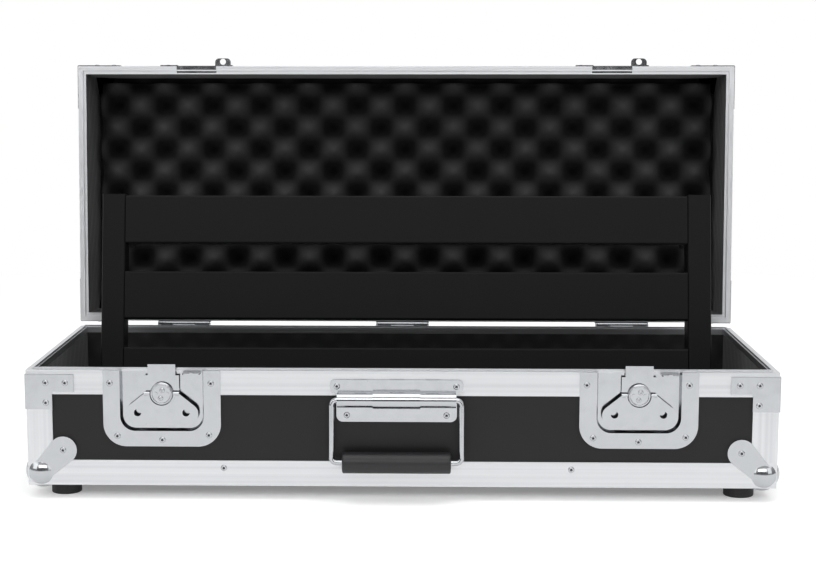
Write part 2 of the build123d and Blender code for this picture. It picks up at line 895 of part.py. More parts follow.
def brace_and_ball_rivets(rim_z, face_z, up):
    """The rivets at one corner of a shell, mirrored to the other three."""
    side_rows = ((18.5, 12.0), (36.8, 12.0), (18.5, 30.8))
    outer = half_width + plate_thickness
    front = Plane((half_width, -plate_thickness, rim_z), x_dir=(1, 0, 0), z_dir=(0, -1, 0))
    side = Plane((outer, 0, rim_z), x_dir=(0, 1, 0), z_dir=(1, 0, 0))
    with BuildPart() as made:
        rivets_on(front, [(-along, -up * down) for along, down in side_rows])
        rivets_on(side, [(along, -up * down) for along, down in side_rows])
        lobe_front = Plane((half_width, -plate_thickness, face_z), x_dir=(1, 0, 0), z_dir=(0, -1, 0))
        rivets_on(lobe_front, [(-lobe_centre, up * lobe_centre)])
        lobe_side = Plane((outer, 0, face_z), x_dir=(0, 1, 0), z_dir=(1, 0, 0))
        rivets_on(lobe_side, [(lobe_centre, up * lobe_centre)])
        mirrored_pair()
    return made.part


def base_rivets():
    """Rivets of the base, on its corners, latches, handle and lower edge."""
    dish_points = ((-48.5, -12.0), (46.0, -12.0), (-42.0, -62.0), (0.0, -65.6), (43.7, -61.0))
    handle_points = ((-55.5, -14.0), (55.5, -14.0), (-46.4, -41.2), (46.4, -41.2))
    edge_points = ((-165.8, 17.0), (-2.0, 17.0), (158.9, 17.0))
    corners = brace_and_ball_rivets(base_height, 0, 1)
    with BuildPart() as made:
        add(corners)
        for x in latch_x.values():
            rivets_on(front_face(x, -plate_thickness, base_height), dish_points)
        rivets_on(front_face(handle_x, -handle_plate, base_height), handle_points)
        rivets_on(front_face(0, 0, 0), edge_points)
    return made.part


def lid_rivets():
    """Rivets of the lid, on its corners, its keepers and its flat face."""
    corners = brace_and_ball_rivets(lid_rim, lid_top, -1)
    with BuildPart() as made:
        add(corners)
        for x in latch_x.values():
            keeper = front_face(x, -plate_thickness, lid_rim)
            rivets_on(keeper, ((-32.0, 14.0), (32.0, 14.0)))
    return made.part


# ---- build and write -------------------------------------------------------------------
cut_half = pan_width / 2 + plate_thickness + same_body_gap
pocket_half = keeper_half_mouth + plate_thickness + same_body_gap
latch_centres = list(latch_x.values())

base_openings = [
    (x, cut_half, base_height - pan_bottom - plate_thickness - same_body_gap, base_height)
    for x in latch_centres
]
lid_openings = [
    (x, pocket_half, lid_rim, lid_rim + keeper_roof + plate_thickness + same_body_gap)
    for x in latch_centres
]
base_names = ("base_panel_front", "base_panel_rear", "base_panel_left", "base_panel_right",
              "base_panel_bottom")
lid_names = ("lid_panel_front", "lid_panel_rear", "lid_panel_left", "lid_panel_right",
             "lid_panel_top")
base_panels = panels(
    panel_inner, base_height - rim_web, (angle_thickness, panel_inner), base_names, base_openings
)
lid_panels = panels(
    lid_rim + groove_depth + groove_roof,
    lid_top - panel_inner,
    (lid_top - panel_inner, lid_top - angle_thickness),
    lid_names,
    lid_openings,
)
for name, panel in base_panels.items():
    write(panel, name, base_place)
for name, panel in lid_panels.items():
    write(panel, name, lid_place)

for name in walls:
    base_rail = mitred_rail(name, base_height, base_rim_section)
    lid_rail = mitred_rail(name, lid_rim, lid_rim_section)
    if name == "front":
        base_rail = front_rim(
            base_rail, latch_centres, cut_half, base_height - 2 * rim_flange, lid_top
        )
        lid_rail = front_rim(
            lid_rail,
            latch_centres,
            pocket_half,
            base_height,
            lid_rim + 2 * rim_flange,
            (lid_rim + groove_depth, lid_rim + rim_lip_height),
        )
    write(base_rail, f"base_rim_{name}", base_place)
    write(lid_rail, f"lid_rim_{name}", lid_place)

write(edge_ring(0, 1), "base_edge_angles", base_place)
write(edge_ring(lid_top, -1), "lid_edge_angles", lid_place)
write(corner_posts((edge_leg, base_height - rim_flange)), "base_corner_angles", base_place)
write(corner_posts((lid_rim + rim_flange, lid_top - edge_leg)), "lid_corner_angles", lid_place)
write(ball_corners(0, 1), "base_ball_corners", base_place)
write(ball_corners(lid_top, -1), "lid_ball_corners", lid_place)
write(corner_braces(base_height, 1), "base_corner_braces", base_place)
write(corner_braces(lid_rim, -1), "lid_corner_braces", lid_place)
write(lining((panel_inner, base_height - rim_lip_height), True), "base_lining", base_place)
write(lining((lid_rim + rim_lip_height, lid_top - panel_inner), False), "lid_lining", lid_place)
write(rubber_feet(), "base_feet", base_place)
write(lid_foam(), "lid_foam", lid_place)
write(end_pad(-1), "base_end_pad_left", base_place)
write(end_pad(1), "base_end_pad_right", base_place)

for name, x in latch_x.items():
    write(latch_dish(x), f"latch_dish_{name}", base_place)
    write(latch_keeper(x), f"latch_keeper_{name}", lid_place)
    write(latch_rotor(x), f"latch_rotor_{name}", base_place)
    write(latch_wing(x), f"latch_wing_{name}", base_place)
    write(latch_hook(x), f"latch_hook_{name}", base_place)

write(handle_plate_piece(), "handle_plate", base_place)
write(handle_bail(), "handle_bail", base_place)
write(handle_grip(), "handle_grip", base_place)
write(hinge_leaves(False), "hinge_base_leaves", base_place)
write(hinge_leaves(True), "hinge_lid_leaves", lid_place)
write(hinge_pins(), "hinge_pins", base_place)
write(base_rivets(), "base_rivets", base_place)
write(lid_rivets(), "lid_rivets", lid_place)

for index in range(3):
    write(board_rail(index), f"board_rail_{index + 1}", board_place)
write(board_end(-1), "board_end_left", board_place)
write(board_end(1), "board_end_right", board_place)
write(board_feet(), "board_feet", board_place)

print("front face at y", round(front_y, 3))
print("hinge pin at", round(pin_y + front_y, 3), round(pin_z + foot_height, 3))
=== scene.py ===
# %% [markdown]
# # A guitar pedal case, dressed for the camera
# The frame brings in every rigid piece at its real size. This notebook gives those pieces
# their finishes, grows the foam, and places the camera and the lights. Sizes are metres.

import math

import bmesh
import bpy
from mathutils import Matrix, Vector, noise


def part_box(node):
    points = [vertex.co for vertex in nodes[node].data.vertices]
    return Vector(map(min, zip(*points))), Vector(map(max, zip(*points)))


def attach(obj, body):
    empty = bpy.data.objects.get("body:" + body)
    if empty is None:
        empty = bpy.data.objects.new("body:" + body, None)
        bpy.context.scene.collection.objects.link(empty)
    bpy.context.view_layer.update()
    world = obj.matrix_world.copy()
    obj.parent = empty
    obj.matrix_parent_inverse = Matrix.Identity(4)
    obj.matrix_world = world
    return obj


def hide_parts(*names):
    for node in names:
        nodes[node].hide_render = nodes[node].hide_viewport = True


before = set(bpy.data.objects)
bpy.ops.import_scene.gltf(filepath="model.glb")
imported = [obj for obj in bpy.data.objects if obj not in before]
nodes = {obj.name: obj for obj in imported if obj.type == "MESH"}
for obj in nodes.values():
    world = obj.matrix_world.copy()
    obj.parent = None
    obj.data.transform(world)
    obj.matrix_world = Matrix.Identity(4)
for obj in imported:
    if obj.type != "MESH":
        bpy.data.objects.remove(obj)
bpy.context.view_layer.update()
mm = 0.001
shells = ("base", "lid")
both_sides = ("left", "right")
print("nodes in the frame:", len(nodes))

# %% [markdown]
# The case's own corner is where the front face meets the underside. The camera and the
# latches' rims are placed from it. The open lid leans back a little, so it has directions
# of its own: one up along its panel, and one from the foam's peaks back to that panel.

# %% Where the case stands
edge_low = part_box("base_edge_angles")[0]
front_y = edge_low.y
underside = edge_low.z
lid_lean = math.radians(4.0)
lid_up = Vector((0, math.sin(lid_lean), math.cos(lid_lean)))
lid_in = Vector((0, math.cos(lid_lean), -math.sin(lid_lean)))
base_axes = (Vector((1, 0, 0)), Vector((0, 1, 0)), Vector((0, 0, 1)))
lid_axes = (Vector((1, 0, 0)), lid_up, lid_in)
print("front face at", round(front_y, 4), "underside at", round(underside, 4))


def span(points, axis):
    """The least and the greatest reach of points along an axis."""
    reaches = [p.dot(axis) for p in points]
    return min(reaches), max(reaches)


# %% [markdown]
# Colours are written as they are seen, in sRGB, and shaders want them linear, so one
# function turns them. A second one adds a node, sets it and links its inputs.

# %% Colour and node helpers
def colour(code):
    """An sRGB hex colour as linear red, green, blue and alpha."""
    parts = [int(code[i : i + 2], 16) / 255 for i in (1, 3, 5)]
    linear = [c / 12.92 if c <= 0.04045 else ((c + 0.055) / 1.055) ** 2.4 for c in parts]
    return (*linear, 1.0)


def add_node(tree, kind, links=None, **settings):
    """A node of one kind with its settings, default inputs and links."""
    made = tree.nodes.new(kind)
    inputs = settings.pop("inputs", {})
    for key, value in settings.items():
        setattr(made, key, value)
    for key, value in inputs.items():
        made.inputs[key].default_value = value
    for key, source in (links or {}).items():
        tree.links.new(source, made.inputs[key])
    return made


def new_material(name, base, roughness, metallic=0.0, **sockets):
    """A material with its Principled shader set, and the tree to add to."""
    made = bpy.data.materials.new(name)
    made.use_nodes = True
    shader = made.node_tree.nodes["Principled BSDF"]
    shader.inputs["Base Color"].default_value = colour(base)
    shader.inputs["Roughness"].default_value = roughness
    shader.inputs["Metallic"].default_value = metallic
    for key, value in sockets.items():
        shader.inputs[key.replace("_", " ")].default_value = value
    return made, made.node_tree, shader


def ramp(tree, source, low, high, low_value, high_value):
    """Map a pattern between two limits to two numbers."""
    return add_node(
        tree,
        "ShaderNodeMapRange",
        {"Value": source},
        inputs={"From Min": low, "From Max": high, "To Min": low_value, "To Max": high_value},
    ).outputs["Result"]


# Noise seldom leaves this range, so roughness is spread over it.
noise_low = 0.3
noise_high = 0.7


def uneven(tree, shader, pattern, smooth, dull, high=noise_high):
    """Let the roughness follow a pattern from smooth to dull."""
    spread = ramp(tree, pattern, noise_low, high, smooth, dull)
    tree.links.new(spread, shader.inputs["Roughness"])


def tint(tree, shader, factor, first, second):
    """Blend the base colour between two tones by a pattern."""
    mix = add_node(tree, "ShaderNodeMix", {"Factor": factor}, data_type="RGBA")
    mix.inputs["A"].default_value = colour(first)
    mix.inputs["B"].default_value = colour(second)
    tree.links.new(mix.outputs["Result"], shader.inputs["Base Color"])


def bump(tree, shader, height, depth, strength):
    """Raise the surface by a pattern, to a depth in metres."""
    made = add_node(
        tree,
        "ShaderNodeBump",
        {"Height": height},
        inputs={"Strength": strength, "Distance": depth},
    )
    tree.links.new(made.outputs["Normal"], shader.inputs["Normal"])


def spotted(tree, size, detail, stretch=(1, 1, 1)):
    """Noise whose blobs are about one size in metres, stretched along an axis if asked."""
    place = add_node(tree, "ShaderNodeTexCoord").outputs["Object"]
    scale = tuple(1 / (size * s) for s in stretch)
    mapped = add_node(tree, "ShaderNodeMapping", {"Vector": place}, inputs={"Scale": scale})
    return add_node(
        tree,
        "ShaderNodeTexNoise",
        {"Vector": mapped.outputs["Vector"]},
        inputs={"Scale": 1.0, "Detail": detail},
    ).outputs["Fac"]


def wear(material, *names):
    """Give nodes a material in place of the one they came with."""
    for name in names:
        data = nodes[name].data
        data.materials.clear()
        data.materials.append(material)


# %% [markdown]
# The panels are thin plywood faced with a black laminate. Its skin is a fine leathery
# pebble, just under a millimetre across, which breaks the soft lights into a satin sheen.
#
# The specular levels here and below, and the colour of the plating, are lower than such
# materials usually have. They were set by comparing tones with the photo.

# %% Laminate on the panels
laminate, tree, shader = new_material("black_laminate", "#161618", 0.42, Specular_IOR_Level=0.27)
pebble = spotted(tree, 0.9 * mm, detail=2.0)
clouds = spotted(tree, 60 * mm, detail=2.0)
uneven(tree, shader, clouds, 0.41, 0.44)
tint(tree, shader, clouds, "#151517", "#181819")
bump(tree, shader, pebble, depth=0.12 * mm, strength=0.5)
for shell in shells:
    wear(laminate, *[f"{shell}_panel_{side}" for side in ("front", "rear", "left", "right")])
wear(laminate, "base_panel_bottom", "lid_panel_top")


# %% [markdown]
# The edges are extruded aluminium, clear anodised. The die leaves fine lines along the
# length, so each direction of rail has its own stretched noise.

# %% Extruded aluminium
def extruded(name, stretch):
    """Anodised aluminium with die lines along one axis."""
    made, tree, shader = new_material(name, "#d9dadc", 0.36, metallic=1.0)
    lines = spotted(tree, 0.7 * mm, 2.0, stretch)
    broad = spotted(tree, 3.5 * mm, 1.0, stretch)
    uneven(tree, shader, lines, 0.28, 0.44)
    tint(tree, shader, broad, "#bec0c3", "#dadbdd")
    bump(tree, shader, lines, depth=0.05 * mm, strength=0.35)
    return made


along = 400
rail_x = extruded("anodised_aluminium_lengthwise", (along, 1, 1))
rail_y = extruded("anodised_aluminium_crosswise", (1, along, 1))
rail_z = extruded("anodised_aluminium_upright", (1, 1, along))
for shell in shells:
    wear(rail_x, f"{shell}_rim_front", f"{shell}_rim_rear", f"{shell}_edge_angles")
wear(rail_y, "base_rim_left", "base_rim_right", "lid_corner_angles")
wear(rail_z, "lid_rim_left", "lid_rim_right", "base_corner_angles")

# %% [markdown]
# Latches, corners, hinges and the handle are pressed steel, nickel and chrome plated. It
# mirrors the room, with faint swirls from the polishing wheel.

# %% Plated steel
chrome, tree, shader = new_material("chrome_plated_steel", "#aeb0b3", 0.13, metallic=1.0)
swirl = spotted(tree, 9 * mm, detail=4.0)
uneven(tree, shader, swirl, 0.09, 0.21, high=0.75)
bump(tree, shader, swirl, depth=0.06 * mm, strength=0.25)
plated = ["handle_plate", "handle_bail", "hinge_base_leaves", "hinge_lid_leaves", "hinge_pins"]
for shell in shells:
    plated += [f"{shell}_ball_corners", f"{shell}_corner_braces", f"{shell}_rivets"]
for side in both_sides:
    plated += [f"latch_{part}_{side}" for part in ("dish", "keeper", "rotor", "wing", "hook")]
wear(chrome, *plated)

# %% [markdown]
# The feet and the board's pads are moulded black rubber, dull with a bloom.

# %% Rubber
rubber, tree, shader = new_material("moulded_rubber", "#1b1b1c", 0.62)
grain = spotted(tree, 0.6 * mm, detail=3.0)
uneven(tree, shader, grain, 0.55, 0.72)
bump(tree, shader, grain, depth=0.1 * mm, strength=0.4)
wear(rubber, "base_feet", "board_feet")

# %% [markdown]
# The grip is a soft vinyl sleeve over foam, with a fine leather grain along it.

# %% Vinyl grip
vinyl, tree, shader = new_material("vinyl_sleeve", "#1f1f21", 0.4, Specular_IOR_Level=0.38)
grain = spotted(tree, 1.2 * mm, 4.0, stretch=(2.5, 1, 1))
uneven(tree, shader, grain, 0.33, 0.5)
bump(tree, shader, grain, depth=0.25 * mm, strength=0.5)
wear(vinyl, "handle_grip")

# %% [markdown]
# The board is aluminium under a black powder coat: deep, even, with an orange-peel skin
# of about a millimetre.

# %% Powder coat
powder, tree, shader = new_material("black_powder_coat", "#0e0e0f", 0.44, Specular_IOR_Level=0.1)
peel = spotted(tree, 1.1 * mm, detail=2.0)
broad = spotted(tree, 90 * mm, detail=2.0)
uneven(tree, shader, broad, 0.4, 0.5)
tint(tree, shader, broad, "#0b0b0c", "#101011")
bump(tree, shader, peel, depth=0.1 * mm, strength=0.45)
wear(powder, "board_rail_1", "board_rail_2", "board_rail_3", "board_end_left", "board_end_right")

# %% [markdown]
# The lining is a thin woven cloth with a diamond twill. Two wave patterns that lean against
# each other give the diamonds. A wave's repeat is 2 pi times the length that it is given.

# %% Lining cloth
twill_length = 2.6 * mm
twill_lean = math.radians(45)
wave_rate = 20
cloth, tree, shader = new_material("twill_lining", "#141415", 0.85, Sheen_Weight=0.12)
place = add_node(tree, "ShaderNodeTexCoord").outputs["Object"]
heights = []
for way in (1, -1):
    turned = add_node(
        tree,
        "ShaderNodeMapping",
        {"Vector": place},
        inputs={"Rotation": (0, twill_lean * way, twill_lean * way)},
    )
    wave = add_node(
        tree,
        "ShaderNodeTexWave",
        {"Vector": turned.outputs["Vector"]},
        inputs={"Scale": 1 / (wave_rate * twill_length)},
    )
    heights.append(wave.outputs["Fac"])
weave = add_node(
    tree, "ShaderNodeMath", {0: heights[0], 1: heights[1]}, operation="MULTIPLY"
).outputs["Value"]
tint(tree, shader, weave, "#0a0a0b", "#202022")
bump(tree, shader, weave, depth=0.4 * mm, strength=0.6)
wear(cloth, "base_lining", "lid_lining")

# %% [markdown]
# The foam is charcoal polyurethane. Cut cells scatter the light, so it is very dull with
# a faint sheen, and its pores are drawn a little coarse so that they show.

# %% Foam
foam, tree, shader = new_material(
    "open_cell_foam",
    "#0e0e0f",
    0.95,
    Sheen_Weight=0.05,
    Sheen_Roughness=0.6,
    Specular_IOR_Level=0.1,
)
pores = spotted(tree, 1.4 * mm, detail=4.0)
patch = spotted(tree, 30 * mm, detail=2.0)
tint(tree, shader, patch, "#0b0b0c", "#131314")
bump(tree, shader, pores, depth=0.5 * mm, strength=0.7)


# %% [markdown]
# Some pieces are made here rather than in the frame. Each one is built as a loose mesh,
# often from rings of points with bands of faces between them.

# %% Mesh helpers
def mesh_piece(name, built, material, body):
    """Turn a bmesh into a smooth piece that rides on a body."""
    data = bpy.data.meshes.new(name)
    built.normal_update()
    built.to_mesh(data)
    built.free()
    data.polygons.foreach_set("use_smooth", [True] * len(data.polygons))
    made = bpy.data.objects.new(name, data)
    bpy.context.scene.collection.objects.link(made)
    data.materials.append(material)
    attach(made, body)
    return made


def band(built, first, second):
    """The faces between two rings with the same number of points."""
    faces = []
    for i in range(len(first)):
        j = (i + 1) % len(first)
        faces.append(built.faces.new((first[i], first[j], second[j], second[i])))
    return faces


def lathe(built, place, profile, sides):
    """Turn a profile of radius and height about the upright line of a placement."""
    rings = []
    for radius, height in profile:
        ring = []
        for s in range(sides):
            around = 2 * math.pi * s / sides
            point = Vector((radius * math.cos(around), radius * math.sin(around), height))
            ring.append(built.verts.new(place @ point))
        rings.append(ring)
    bands = [band(built, first, second) for first, second in zip(rings, rings[1:])]
    return rings, bands


# %% [markdown]
# Egg-crate foam is sawn from a block that rollers press, so peaks and dips alternate in a
# staggered grid. A product of two cosines has that form. The sheet is a height field over
# the lid's panel, closed behind, and it stands in the space of the plain foam block.

# %% Egg-crate sheet
peak_pitch = 26.4 * mm
row_pitch = 24.0 * mm
sheet_base = 11 * mm
peak_height = 25.5 * mm
peak_fullness = 0.9
grid_step = 3.2 * mm
rough_depth = 0.8 * mm
rough_rate = 45
rough_slice = 0.3

foam_points = [v.co.copy() for v in nodes["lid_foam"].data.vertices]
foam_x, foam_up, foam_in = [span(foam_points, axis) for axis in lid_axes]


def foam_surface(x, up):
    """How far the sheet stands out from the panel at one place."""
    wave = math.cos(math.pi * x / peak_pitch) * math.cos(math.pi * up / row_pitch)
    crown = (0.5 + 0.5 * wave) ** peak_fullness
    rough = noise.noise(Vector((x, up, rough_slice)) * rough_rate) * rough_depth
    return sheet_base + peak_height * crown + rough


def egg_crate():
    """The foam sheet as a closed height field."""
    built = bmesh.new()
    across = int((foam_x[1] - foam_x[0]) / grid_step)
    rows = int((foam_up[1] - foam_up[0]) / grid_step)
    front = {}
    for i in range(across + 1):
        x = foam_x[0] + (foam_x[1] - foam_x[0]) * i / across
        for j in range(rows + 1):
            up = foam_up[0] + (foam_up[1] - foam_up[0]) * j / rows
            out = foam_surface(x, foam_up[1] - up)
            depth = foam_in[1] - min(out, foam_in[1] - foam_in[0])
            front[i, j] = built.verts.new(Vector((x, 0, 0)) + lid_up * up + lid_in * depth)
    for i in range(across):
        for j in range(rows):
            built.faces.new(
                (front[i, j], front[i + 1, j], front[i + 1, j + 1], front[i, j + 1])
            )
    rim = [e for e in built.edges if e.is_boundary]
    skirt = bmesh.ops.extrude_edge_only(built, edges=rim)["geom"]
    for vert in (v for v in skirt if isinstance(v, bmesh.types.BMVert)):
        vert.co += lid_in * (foam_in[1] - vert.co.dot(lid_in))
    back = [e for e in built.edges if e.is_boundary]
    bmesh.ops.contextual_create(built, geom=back)
    bmesh.ops.recalc_face_normals(built, faces=built.faces)
    return built


# The peaks are tinted lighter than the dips, by height: a painted highlight on the peaks and
# painted shade in the dips. The tone was chosen to reach the photo's contrast, and is not
# something that was seen on the foam itself.
egg_foam = foam.copy()
egg_foam.name = "open_cell_foam_painted_peak_light"
tree = egg_foam.node_tree
shader = tree.nodes["Principled BSDF"]
place = add_node(tree, "ShaderNodeTexCoord").outputs["Object"]
stand = add_node(
    tree, "ShaderNodeVectorMath", {0: place}, operation="DOT_PRODUCT", inputs={1: tuple(lid_in)}
)
painted_shade_share = 0.35
dip_level = foam_in[1] - sheet_base - painted_shade_share * peak_height
peak_level = foam_in[1] - sheet_base - peak_height
painted_light_by_height = ramp(tree, stand.outputs["Value"], dip_level, peak_level, 0.0, 1.0)
# Painted shade in the dips, painted highlight on the peaks.
tint(tree, shader, painted_light_by_height, "#030303", "#3a3a3b")

sheet = mesh_piece("egg_crate_foam", egg_crate(), egg_foam, "lid")
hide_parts("lid_foam")
print("foam faces:", len(sheet.data.polygons))


# %% [markdown]
# A foam pad at each end of the base holds the board sideways. Foam is cut with a hot wire,
# so its edges are a little round and its faces sink slightly between them.

# %% End pads
pad_edge = 3 * mm
pad_sink = 0.2 * mm
dent_depth = 0.5 * mm
dent_rate = 30


def soft_block(low, high):
    """A block of foam with round edges and slightly sunken faces."""
    built = bmesh.new()
    bmesh.ops.create_cube(built, size=1.0)
    middle = (low + high) / 2
    size = high - low
    for vert in built.verts:
        vert.co = Vector([vert.co[i] * size[i] for i in range(3)]) + middle
    bmesh.ops.bevel(
        built, geom=built.edges[:], offset=pad_edge, segments=3, profile=0.5, affect="EDGES"
    )
    bmesh.ops.subdivide_edges(built, edges=built.edges[:], cuts=6, use_grid_fill=True)
    for vert in built.verts:
        dent = noise.noise(vert.co * dent_rate) * dent_depth
        vert.co += (middle - vert.co).normalized() * (abs(dent) + pad_sink)
    return built


for side in both_sides:
    low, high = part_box(f"base_end_pad_{side}")
    pad = mesh_piece(f"end_pad_{side}_foam", soft_block(low, high), foam, "base")
    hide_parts(f"base_end_pad_{side}")


# %% [markdown]
# Rivet heads are low domes. Each CAD rivet is a small island of its node, so a dome is
# turned on each island's middle, along the way that its flat faces.

# %% Domed rivets
weld_distance = 0.02 * mm
dome_radius = 3.0 * mm
dome_height = 1.2 * mm
dome_rings = 4
dome_sides = 20
hole_radius = 0.95 * mm
hole_floor = 0.45 * mm
pin_slot = 1


def islands(data):
    """The groups of joined vertices in a mesh, as their places and their faces."""
    built = bmesh.new()
    built.from_mesh(data)
    bmesh.ops.remove_doubles(built, verts=built.verts[:], dist=weld_distance)
    built.verts.ensure_lookup_table()
    seen = set()
    groups = []
    for start in built.verts:
        if start.index in seen:
            continue
        stack = [start]
        seen.add(start.index)
        group = []
        while stack:
            vert = stack.pop()
            group.append(vert)
            for edge in vert.link_edges:
                other = edge.other_vert(vert)
                if other.index not in seen:
                    seen.add(other.index)
                    stack.append(other)
        points = [v.co.copy() for v in group]
        faces = {f for v in group for f in v.link_faces}
        groups.append((points, [(f.normal.copy(), f.calc_area()) for f in faces]))
    built.free()
    return groups


def rivet_axis(points, faces):
    """The middle of a rivet's seat and the way its head points."""
    # The seat's flat is the largest one, so the head points the other way.
    totals = {}
    for normal, area in faces:
        key = tuple(round(c, 2) for c in normal)
        totals[key] = totals.get(key, 0) + area
    seat = Vector(max(totals, key=totals.get)).normalized()
    out = -seat
    middle = sum(points, Vector()) / len(points)
    base = min(p.dot(out) for p in points)
    return middle + out * (base - middle.dot(out)), out


# A blind rivet keeps the broken end of its steel pin down in its head. The pin is drawn dark:
# partly its own dull steel, and partly painted shade for the shade down in the hole.
pin_steel_painted_shade, tree, shader = new_material("broken_rivet_pin_painted_shade", "#3a3a3c", 0.55, metallic=1.0)
grit = spotted(tree, 0.5 * mm, detail=2.0)
uneven(tree, shader, grit, 0.45, 0.7)

dome_angles = [math.pi / 2 * ring / dome_rings for ring in range(dome_rings)]
dome_profile = [(dome_radius * math.cos(a), dome_height * math.sin(a)) for a in dome_angles]
dome_profile.append((hole_radius, hole_floor))


def domes(node):
    """A dome for each rivet of a node, as one mesh, with the pin's hole in its top."""
    built = bmesh.new()
    for points, faces in islands(nodes[node].data):
        foot, out = rivet_axis(points, faces)
        turn = out.to_track_quat("Z", "Y").to_matrix().to_4x4()
        place = Matrix.Translation(foot) @ turn
        rings, bands = lathe(built, place, dome_profile, dome_sides)
        for face in (*bands[-1], built.faces.new(rings[-1])):
            face.material_index = pin_slot
        built.faces.new(rings[0][::-1])
    return built


for shell in shells:
    built = domes(f"{shell}_rivets")
    heads = mesh_piece(f"{shell}_rivet_domes", built, chrome, shell)
    heads.data.materials.append(pin_steel_painted_shade)
    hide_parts(f"{shell}_rivets")
    print(shell, "rivet faces:", len(heads.data.polygons))

# %% [markdown]
# A ball corner is three pressed plates welded to a hollow ball. The ball is a sphere whose
# part inside the case is folded flat against the case's three faces, which keeps it closed.

# %% Ball corners
ball_inset = 12.0 * mm
ball_reach = 16.6 * mm
ball_detail = 4
neck_reach = 9.5 * mm
lobe_inset = 33.5 * mm
lobe_reach = 13.0 * mm
plate_sink = 1.5 * mm
plate_rise = 1.2 * mm
hidden_skin = 0.4 * mm
arc_steps = 14
crease_angle = math.radians(40)


def lobed_outline():
    """Points round a narrow circle and a wide one on the diagonal, and the lines between."""
    apart = (lobe_inset - ball_inset) * math.sqrt(2)
    lean = math.acos((neck_reach - lobe_reach) / apart)
    points = []
    for inset, radius, start, end in (
        (lobe_inset, lobe_reach, -lean, lean),
        (ball_inset, neck_reach, lean, 2 * math.pi - lean),
    ):
        for step in range(arc_steps + 1):
            angle = math.pi / 4 + start + (end - start) * step / arc_steps
            points.append((inset + radius * math.cos(angle), inset + radius * math.sin(angle)))
    return points


def ball_corner(built, corner, inward):
    """One ball and its three plates, from the corner along three inward directions."""

    def at(a, b, c):
        return corner + inward[0] * a + inward[1] * b + inward[2] * c

    ball = bmesh.ops.create_icosphere(built, subdivisions=ball_detail, radius=ball_reach)
    for vert in ball["verts"]:
        place = [c + ball_inset for c in vert.co]
        if min(place) > hidden_skin:
            place[place.index(min(place))] = hidden_skin
        vert.co = at(*place)
    for flat in range(3):
        rings = []
        for depth in (plate_sink, -plate_rise):
            ring = []
            for a, b in lobed_outline():
                place = [a, b]
                place.insert(flat, depth)
                ring.append(built.verts.new(at(*place)))
            rings.append(ring)
        under, top = rings
        built.faces.new(under)
        built.faces.new(top[::-1])
        band(built, top, under)


def shell_corners(shell):
    """The four ball corners of one shell, found from its edge angles."""
    points = [v.co for v in nodes[f"{shell}_edge_angles"].data.vertices]
    axes = base_axes if shell == "base" else lid_axes
    spans = [span(points, axis) for axis in axes]
    flat, into_flat = (spans[2][0], axes[2]) if shell == "base" else (spans[2][1], -axes[2])
    built = bmesh.new()
    for x, into_x in zip(spans[0], (axes[0], -axes[0])):
        for y, into_y in zip(spans[1], (axes[1], -axes[1])):
            corner = axes[0] * x + axes[1] * y + axes[2] * flat
            ball_corner(built, corner, (into_x, into_y, into_flat))
    bmesh.ops.recalc_face_normals(built, faces=built.faces)
    return built


for shell in shells:
    name = f"{shell}_ball_and_plates"
    caps = mesh_piece(name, shell_corners(shell), chrome, shell)
    caps.data.set_sharp_from_angle(angle=crease_angle)
    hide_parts(f"{shell}_ball_corners")
    print(name, "faces:", len(caps.data.polygons))

# %% [markdown]
# The latch's turning head has a raised rim and two rivets, one above the other, that hold
# it to its post. Both are turned shapes. Their profiles close on themselves, and are
# written in millimetres as radius and height.

# %% Rim and rivets of the turning head
rotor_front = 3.3 * mm
rim_profile = ((8.3, 0.0), (8.5, 0.7), (9.1, 0.9), (9.7, 0.7), (9.9, 0.0))
rim_sides = 40
head_profile = ((2.5, 0.0), (2.3, 0.6), (1.5, 0.9), (0.9, 0.9), (0.7, 0.4))
head_sides = 20
head_places = ((0.9, 3.4), (-0.7, -3.9))
to_front = Matrix.Rotation(math.pi / 2, 4, "X")


def raised(built, middle, profile, sides):
    """A closed profile, turned about the line that runs to the front."""
    place = Matrix.Translation(middle) @ to_front
    rings, _ = lathe(built, place, [(r * mm, h * mm) for r, h in profile], sides)
    band(built, rings[-1], rings[0])


for side in both_sides:
    low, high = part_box(f"latch_rotor_{side}")
    middle = Vector(((low.x + high.x) / 2, front_y - rotor_front, (low.z + high.z) / 2))
    built = bmesh.new()
    raised(built, middle, rim_profile, rim_sides)
    for x, z in head_places:
        raised(built, middle + Vector((x, 0, z)) * mm, head_profile, head_sides)
    bmesh.ops.recalc_face_normals(built, faces=built.faces)
    mesh_piece(f"rotor_{side}_rim", built, chrome, f"rotor_{side}")

# %% [markdown]
# A pressed or extruded edge is never knife sharp: a few tenths of a millimetre of roundness
# catch a thin line of light. A bevel that only takes sharp edges gives it.

# %% Softened edges
sharp_angle = math.radians(50)
soft_edges = {
    "latch_": 0.25 * mm,
    "handle_plate": 0.3 * mm,
    "base_rim": 0.2 * mm,
    "lid_rim": 0.2 * mm,
    "base_corner_braces": 0.3 * mm,
    "lid_corner_braces": 0.3 * mm,
    "board_": 0.4 * mm,
}
for name, piece in nodes.items():
    for start, width in soft_edges.items():
        if name.startswith(start):
            edge = piece.modifiers.new("softened edges", "BEVEL")
            edge.width = width
            edge.segments = 2
            edge.limit_method = "ANGLE"
            edge.angle_limit = sharp_angle
            edge.harden_normals = False

# %% [markdown]
# The floor and the backdrop are one white sweep, as in a product studio. Lit paper falls a
# little short of white, so what is seen or mirrored gets the rest. Near the case the paper
# keeps its shadow, and beyond a ring it goes over to plain white, which no lamp lights.

